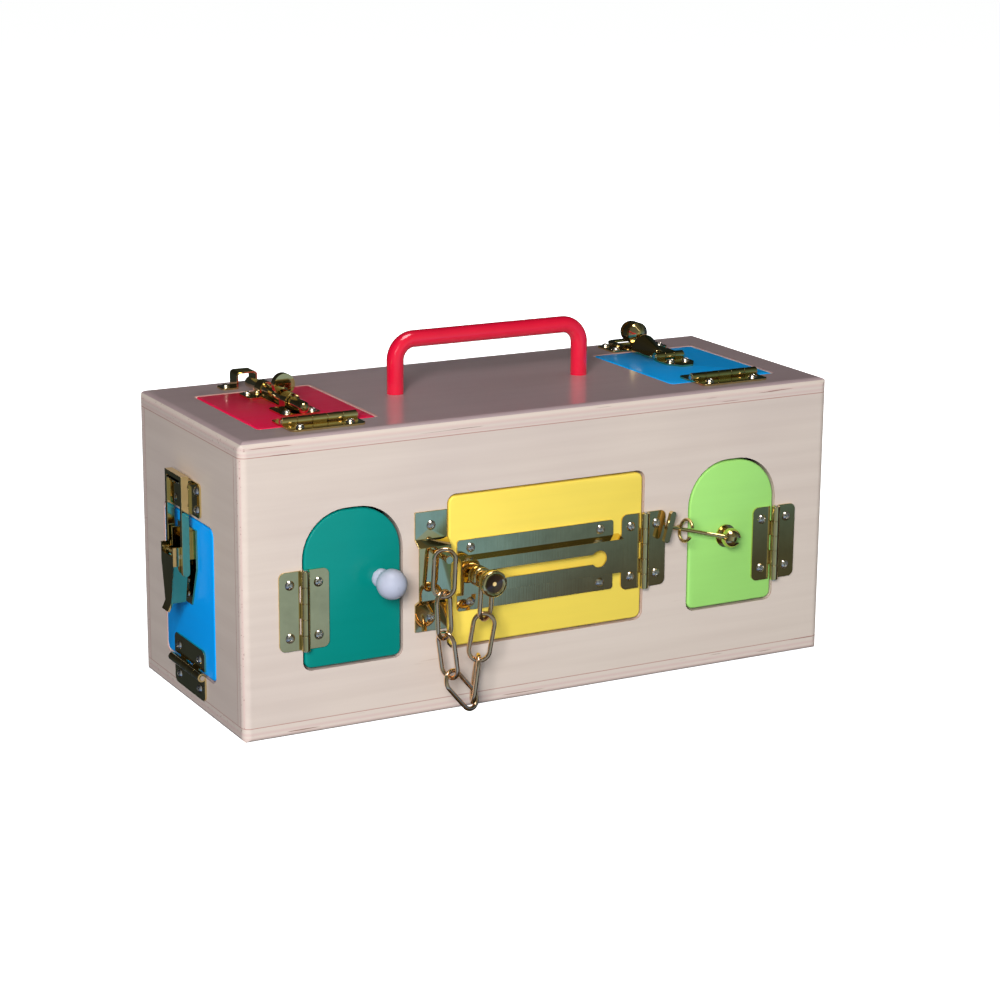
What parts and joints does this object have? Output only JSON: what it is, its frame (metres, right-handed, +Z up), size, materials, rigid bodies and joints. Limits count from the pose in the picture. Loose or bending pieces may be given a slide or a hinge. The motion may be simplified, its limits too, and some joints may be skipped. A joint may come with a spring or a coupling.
{
  "type": "latch lock box",
  "caption": "Plywood box with small hinged doors on its front, top and end, each held by its own kind of latch, and a bar handle on top.",
  "frame": {"origin": "middle of the underside of the box", "axes": "+X along the box to the right end, -Y out of the front wall, +Z up"},
  "size_m": [0.4368, 0.1933, 0.227],
  "materials": {
    "plywood": "clear varnish, satin",
    "red_handle": "gloss",
    "knob_white": "gloss",
    "catch_plastic": "matte",
    "magnet": "dull",
    "teal_paint": "gloss paint",
    "yellow_paint": "gloss paint",
    "lime_paint": "gloss paint",
    "red_paint": "gloss paint",
    "blue_paint": "gloss paint",
    "sky_paint": "gloss paint",
    "brass_plate": "polished",
    "bright_steel": "bright"
  },
  "bodies": {
    "box": {"front_panel": "plywood", "back_panel": "plywood", "left_end_panel": "plywood", "right_end_panel": "plywood", "top_panel": "plywood", "base_panel": "plywood", "handle": "red_handle", "handle_screws": "bright_steel", "frame_hinge_leaves": "brass_plate", "hinge_pins": "bright_steel", "frame_screws": "bright_steel", "catch_case": "catch_plastic", "catch_magnet": "magnet", "chain_anchor": "brass_plate", "chain_stud": "brass_plate", "hook_eye": "brass_plate", "bolt_keeper": "brass_plate", "staple_plate": "brass_plate", "latch_keeper": "brass_plate"},
    "turn_knob": {"turn_staple": "brass_plate"},
    "teal_leaf": {"teal_door": "teal_paint", "teal_hinge_leaf": "brass_plate", "teal_knob": "knob_white", "teal_strike": "bright_steel", "teal_screws": "bright_steel"},
    "yellow_leaf": {"yellow_door": "yellow_paint", "yellow_hinge_leaf": "brass_plate", "chain_track": "brass_plate", "yellow_screws": "bright_steel"},
    "slider": {"chain_slider": "brass_plate"},
    "lime_leaf": {"lime_door": "lime_paint", "lime_hinge_leaf": "brass_plate", "hook_base": "brass_plate", "lime_screws": "bright_steel"},
    "hook": {"hook_arm": "brass_plate"},
    "red_leaf": {"red_door": "red_paint", "red_hinge_leaf": "brass_plate", "bolt_plate": "brass_plate", "red_screws": "bright_steel"},
    "bolt": {"bolt_rod": "brass_plate"},
    "blue_leaf": {"blue_door": "blue_paint", "blue_hinge_leaf": "brass_plate", "hasp_leaf": "brass_plate", "blue_screws": "bright_steel", "hasp_pin": "bright_steel"},
    "strap": {"hasp_strap": "brass_plate"},
    "end_leaf": {"end_door": "sky_paint", "end_hinge_leaf": "brass_plate", "latch_base": "brass_plate", "end_screws": "bright_steel", "latch_pin": "bright_steel"},
    "lever": {"latch_lever": "brass_plate"},
    "bail": {"latch_bail": "brass_plate"},
    "link_7": {"chain_link_7": "brass_plate"},
    "link_6": {"chain_link_6": "brass_plate"},
    "link_5": {"chain_link_5": "brass_plate"},
    "link_4": {"chain_link_4": "brass_plate"},
    "link_3": {"chain_link_3": "brass_plate"},
    "link_2": {"chain_link_2": "brass_plate"},
    "link_1": {"chain_link_1": "brass_plate"}
  },
  "joints": [
    {"name": "teal_swing", "type": "hinge", "parent": "box", "child": "teal_leaf", "pos_m": [-0.17, -0.086, 0.0795], "axis": [0, 0, -1], "range_deg": [0, 110]},
    {"name": "yellow_swing", "type": "hinge", "parent": "box", "child": "yellow_leaf", "pos_m": [0.069, -0.086, 0.087], "axis": [0, 0, 1], "range_deg": [0, 100]},
    {"name": "lime_swing", "type": "hinge", "parent": "box", "child": "lime_leaf", "pos_m": [0.17, -0.086, 0.0795], "axis": [0, 0, 1], "range_deg": [0, 110]},
    {"name": "red_swing", "type": "hinge", "parent": "box", "child": "red_leaf", "pos_m": [-0.146, -0.05475, 0.19], "axis": [1, 0, 0], "range_deg": [0, 110]},
    {"name": "blue_swing", "type": "hinge", "parent": "box", "child": "blue_leaf", "pos_m": [0.146, -0.05475, 0.19], "axis": [1, 0, 0], "range_deg": [0, 110]},
    {"name": "end_swing", "type": "hinge", "parent": "box", "child": "end_leaf", "pos_m": [-0.213, 0.00175, 0.02475], "axis": [0, -1, 0], "range_deg": [0, 90]},
    {"name": "chain_slide", "type": "slide", "parent": "yellow_leaf", "child": "slider", "axis": [1, 0, 0], "range_m": [0, 0.086]},
    {"name": "link_7_swing", "type": "hinge", "parent": "slider", "child": "link_7", "pos_m": [-0.05325, -0.09932, 0.087], "axis": [0, -1, 0], "range_deg": [-39.52, 0]},
    {"name": "link_6_swing", "type": "hinge", "parent": "link_7", "child": "link_6", "pos_m": [-0.05457, -0.09932, 0.06188], "axis": [0, -1, 0], "range_deg": [0, 13.18]},
    {"name": "link_5_swing", "type": "hinge", "parent": "link_6", "child": "link_5", "pos_m": [-0.05901, -0.09932, 0.03901], "axis": [0, -1, 0], "range_deg": [-9.94, 0]},
    {"name": "link_4_swing", "type": "hinge", "parent": "link_5", "child": "link_4", "pos_m": [-0.0632, -0.09932, 0.00921], "axis": [0, -1, 0], "range_deg": [0, 42.84]},
    {"name": "link_3_swing", "type": "hinge", "parent": "link_4", "child": "link_3", "pos_m": [-0.07818, -0.09932, 0.02705], "axis": [0, -1, 0], "range_deg": [0, 20.03]},
    {"name": "link_2_swing", "type": "hinge", "parent": "link_3", "child": "link_2", "pos_m": [-0.08237, -0.09932, 0.05686], "axis": [0, -1, 0], "range_deg": [0, 8.36]},
    {"name": "link_1_swing", "type": "hinge", "parent": "link_2", "child": "link_1", "pos_m": [-0.08359, -0.09932, 0.08013], "axis": [0, -1, 0], "range_deg": [0, 9.17]},
    {"name": "hook_swing", "type": "hinge", "parent": "lime_leaf", "child": "hook", "pos_m": [0.1325, -0.09, 0.0885], "axis": [0.2672, 0, 0.9636], "range_deg": [0, 85]},
    {"name": "bolt_slide", "type": "slide", "parent": "red_leaf", "child": "bolt", "axis": [0, 1, 0], "range_m": [0, 0.014]},
    {"name": "strap_swing", "type": "hinge", "parent": "blue_leaf", "child": "strap", "pos_m": [0.146, 0.0135, 0.19], "axis": [1, 0, 0], "range_deg": [0, 150]},
    {"name": "knob_turn", "type": "hinge", "parent": "box", "child": "turn_knob", "pos_m": [0.146, 0.0585, 0.19], "axis": [0, 0, 1], "range_deg": [0, 90]},
    {"name": "lever_swing", "type": "hinge", "parent": "end_leaf", "child": "lever", "pos_m": [-0.2195, 0.00175, 0.1], "axis": [0, 1, 0], "range_deg": [0, 90]},
    {"name": "bail_swing", "type": "hinge", "parent": "lever", "child": "bail", "pos_m": [-0.217, 0.00175, 0.09], "axis": [0, 1, 0], "range_deg": [-90.5, 0]}
  ],
  "couplings": [
    {"joint": "link_7_swing", "follows": "chain_slide", "rad_per_m": -7.8235},
    {"joint": "link_6_swing", "follows": "chain_slide", "rad_per_m": 2.5835},
    {"joint": "link_5_swing", "follows": "chain_slide", "rad_per_m": -1.9381},
    {"joint": "link_4_swing", "follows": "chain_slide", "rad_per_m": 8.4831},
    {"joint": "link_3_swing", "follows": "chain_slide", "rad_per_m": 3.9453},
    {"joint": "link_2_swing", "follows": "chain_slide", "rad_per_m": 1.6236},
    {"joint": "link_1_swing", "follows": "chain_slide", "rad_per_m": 1.7839},
    {"joint": "bail_swing", "follows": "lever_swing", "ratio": -1}
  ]
}
